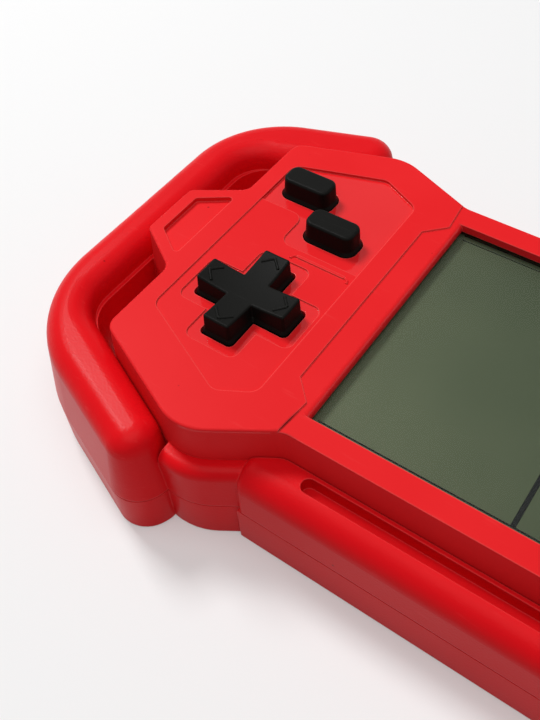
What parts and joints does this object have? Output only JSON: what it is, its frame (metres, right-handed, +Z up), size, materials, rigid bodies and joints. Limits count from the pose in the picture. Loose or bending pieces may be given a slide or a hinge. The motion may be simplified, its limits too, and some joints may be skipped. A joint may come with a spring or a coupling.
{
  "type": "handheld game console",
  "caption": "Handheld LCD game console with carrying bumpers, a directional cross, round and pill buttons, a battery door and its inner board, screen stack and cells.",
  "frame": {"origin": "on the table, under the middle of the console's bounding box", "axes": "+X along the long side towards the round button, +Y towards the top edge, +Z up out of the screen"},
  "size_m": [0.2302, 0.1138, 0.0373],
  "materials": {
    "red_plastic": "satin moulded plastic with a fine grain",
    "black_plastic": "matte moulded plastic",
    "clear_window": "clear polished acrylic",
    "lcd_glass": "grey-green liquid-crystal glass",
    "reflector": "dull silver sheet",
    "holder_plastic": "off-white moulded plastic",
    "contact_rubber": "layered conductive rubber",
    "board_green": "green coated board",
    "epoxy_black": "glossy epoxy blob",
    "buzzer_black": "black plastic can",
    "capacitor_sleeve": "dark blue shrink sleeve",
    "keypad_rubber": "light grey silicone rubber",
    "cell_wrap": "plain dark wrap",
    "contact_steel": "nickel-plated spring steel",
    "screw_steel": "zinc-plated steel"
  },
  "bodies": {
    "housing": {"front_cover": "red_plastic", "front_frame": "red_plastic", "rear_shell": "red_plastic", "screen_window": "clear_window", "lcd_glass": "lcd_glass", "lcd_reflector": "reflector", "lcd_holder": "holder_plastic", "zebra_strips": "contact_rubber", "circuit_board": "board_green", "chip_blob": "epoxy_black", "buzzer": "buzzer_black", "capacitor": "capacitor_sleeve", "dpad_keypad": "keypad_rubber", "turn_keypad": "keypad_rubber", "left_keypad": "keypad_rubber", "right_keypad": "keypad_rubber", "battery_one": "cell_wrap", "battery_two": "cell_wrap", "bridge_contact": "contact_steel", "positive_contact": "contact_steel", "negative_contact": "contact_steel", "case_screws": "screw_steel", "board_screws": "screw_steel"},
    "dpad": {"dpad": "black_plastic"},
    "dpad_pivot": {"dpad_pivot": "black_plastic"},
    "left_upper_button": {"left_upper_button": "black_plastic"},
    "left_lower_button": {"left_lower_button": "black_plastic"},
    "right_upper_button": {"right_upper_button": "black_plastic"},
    "right_lower_button": {"right_lower_button": "black_plastic"},
    "turn_button": {"turn_button": "black_plastic"},
    "battery_door": {"battery_door": "red_plastic"}
  },
  "joints": [
    {"name": "dpad_up_down", "type": "hinge", "parent": "housing", "child": "dpad_pivot", "pos_m": [-0.0682, -0.0135, 0.02785], "axis": [1, 0, 0], "range_deg": [-3.5, 3.5], "stiffness_Nm_per_rad": 0.25},
    {"name": "dpad_left_right", "type": "hinge", "parent": "dpad_pivot", "child": "dpad", "pos_m": [-0.0682, -0.0135, 0.02785], "axis": [0, 1, 0], "range_deg": [-3.5, 3.5], "stiffness_Nm_per_rad": 0.25},
    {"name": "left_upper_press", "type": "slide", "parent": "housing", "child": "left_upper_button", "axis": [0, 0, -1], "range_m": [0, 0.001], "stiffness_N_per_m": 500, "springref_m": -0.0005},
    {"name": "left_lower_press", "type": "slide", "parent": "housing", "child": "left_lower_button", "axis": [0, 0, -1], "range_m": [0, 0.001], "stiffness_N_per_m": 500, "springref_m": -0.0005},
    {"name": "right_upper_press", "type": "slide", "parent": "housing", "child": "right_upper_button", "axis": [0, 0, -1], "range_m": [0, 0.001], "stiffness_N_per_m": 500, "springref_m": -0.0005},
    {"name": "right_lower_press", "type": "slide", "parent": "housing", "child": "right_lower_button", "axis": [0, 0, -1], "range_m": [0, 0.001], "stiffness_N_per_m": 500, "springref_m": -0.0005},
    {"name": "turn_press", "type": "slide", "parent": "housing", "child": "turn_button", "axis": [0, 0, -1], "range_m": [0, 0.001], "stiffness_N_per_m": 500, "springref_m": -0.0005},
    {"name": "battery_door_swing", "type": "hinge", "parent": "housing", "child": "battery_door", "pos_m": [0, -0.01465, 0.0003], "axis": [-1, 0, 0], "range_deg": [0, 35]}
  ]
}
